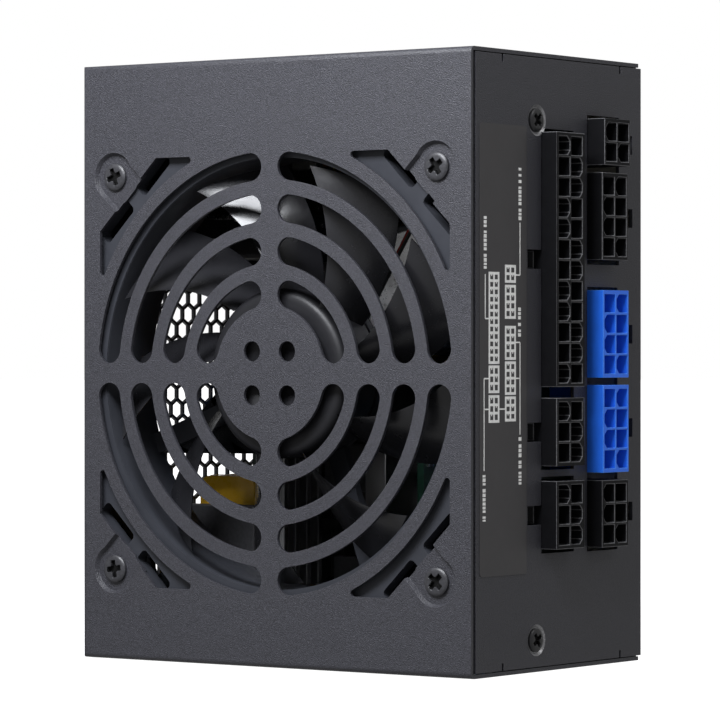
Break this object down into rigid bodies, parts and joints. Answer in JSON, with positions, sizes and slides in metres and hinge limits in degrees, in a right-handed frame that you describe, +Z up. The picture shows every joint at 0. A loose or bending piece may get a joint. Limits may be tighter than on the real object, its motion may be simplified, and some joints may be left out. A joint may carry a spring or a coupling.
{
  "type": "computer power supply unit",
  "caption": "Compact modular computer power supply: steel case, ring-slotted fan grille, keyed cable sockets, mains inlet, rocker switch and honeycomb vent.",
  "frame": {"origin": "centre of the casing's bottom end, on the surface that it stands on", "axes": "+Z up along the casing's 125 mm length; -Y out of the fan face; +X out of the socket panel; -X out of the mains panel"},
  "size_m": [0.1082, 0.0636, 0.125],
  "materials": {
    "casing_steel": "satin black powder coat",
    "label_film": "satin printed film",
    "black_screws": "black oxide",
    "sheet_film": "translucent film",
    "brass": "satin",
    "bright_steel": "bright nickel",
    "fan_plastic": "semi gloss",
    "laminated_steel": "satin",
    "copper_wire": "enamelled copper",
    "circuit_board": "solder mask",
    "magnet": "matt",
    "wire_cover": "satin",
    "mains_wire": "satin",
    "earth_wire": "satin",
    "white_plastic": "matt",
    "black_plastic": "fine matt",
    "rocker_plastic": "semi gloss",
    "ferrite": "matt",
    "yellow_tape": "tape",
    "film_capacitor": "moulded",
    "disc_capacitor": "gloss",
    "package_black": "matt",
    "aluminium": "satin",
    "capacitor_sleeve": "shrink sleeve",
    "relay_blue": "moulded",
    "fuse_body": "ceramic",
    "blue_plastic": "fine satin",
    "contact_metal": "tinned"
  },
  "bodies": {
    "casing": {"base_shell": "casing_steel", "fan_cover": "casing_steel", "socket_map_label": "label_film", "cover_screws": "black_screws", "insulation_sheet": "sheet_film", "board_standoffs": "brass", "board_screws": "bright_steel", "fan_frame": "fan_plastic", "fan_screws": "black_screws", "fan_bearing": "brass", "fan_stator": "laminated_steel", "fan_coils": "copper_wire", "fan_driver_board": "circuit_board", "fan_lead": "wire_cover", "fan_plug": "white_plastic", "ac_inlet": "black_plastic", "inlet_contacts": "bright_steel", "switch_housing": "black_plastic", "switch_terminals": "bright_steel", "mains_leads": "mains_wire", "earth_lead": "earth_wire", "earth_screw": "bright_steel", "main_board": "circuit_board", "line_filter_core": "ferrite", "line_filter_winding": "copper_wire", "x_capacitors": "film_capacitor", "y_capacitors": "disc_capacitor", "bridge_rectifier": "package_black", "primary_heatsink": "aluminium", "power_transistors": "package_black", "pfc_choke_core": "ferrite", "pfc_choke_winding": "copper_wire", "bulk_capacitor": "capacitor_sleeve", "transformer_core": "ferrite", "transformer_winding": "yellow_tape", "standby_core": "ferrite", "standby_winding": "yellow_tape", "resonant_core": "ferrite", "resonant_winding": "yellow_tape", "secondary_heatsink": "aluminium", "output_transistors": "package_black", "output_capacitors": "capacitor_sleeve", "control_board": "circuit_board", "converter_board": "circuit_board", "relay": "relay_blue", "fuse": "fuse_body", "socket_board": "circuit_board", "board_link_bars": "copper_wire", "socket_24pin": "black_plastic", "sockets_6pin": "black_plastic", "socket_4pin": "black_plastic", "socket_8pin_black": "black_plastic", "sockets_8pin_blue": "blue_plastic", "socket_contacts": "contact_metal"},
    "rotor": {"fan_rotor": "fan_plastic", "rotor_yoke": "laminated_steel", "rotor_magnet": "magnet", "rotor_shaft": "bright_steel"},
    "rocker": {"switch_rocker": "rocker_plastic"}
  },
  "joints": [
    {"name": "fan_spin", "type": "hinge", "parent": "casing", "child": "rotor", "pos_m": [0, -0.0225, 0.0602], "axis": [0, 1, 0], "continuous": true},
    {"name": "rocker_tilt", "type": "hinge", "parent": "casing", "child": "rocker", "pos_m": [-0.049, -0.0045, 0.0985], "axis": [0, 1, 0], "range_deg": [0, 20]}
  ]
}
